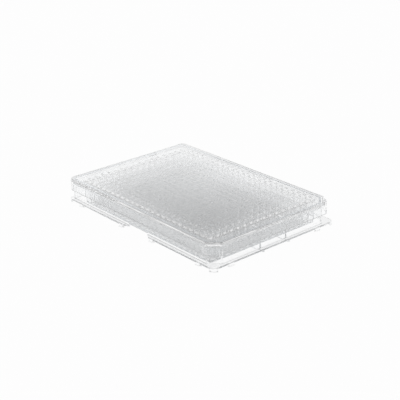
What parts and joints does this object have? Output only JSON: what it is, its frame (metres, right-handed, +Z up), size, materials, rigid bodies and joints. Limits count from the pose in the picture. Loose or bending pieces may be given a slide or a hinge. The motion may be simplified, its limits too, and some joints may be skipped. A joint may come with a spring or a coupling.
{
  "type": "384-well plate with lid",
  "caption": "Clear plastic laboratory well plate: a block of square wells in a hollow skirt with a thin flange on small feet, under a loose flat lid with two cut corners.",
  "frame": {"origin": "on the bench, under the middle of the footprint", "axes": "+X along the rows to the last column, where two corners are cut off; +Y up the columns to the first row; +Z up through the lid"},
  "size_m": [0.1278, 0.0854, 0.0146],
  "materials": {
    "plate_plastic": "clear moulded polystyrene, glossy",
    "lid_plastic": "clear moulded polystyrene, glossy"
  },
  "bodies": {
    "root": {"well_plate": "plate_plastic", "lid": "lid_plastic"}
  },
  "joints": []
}
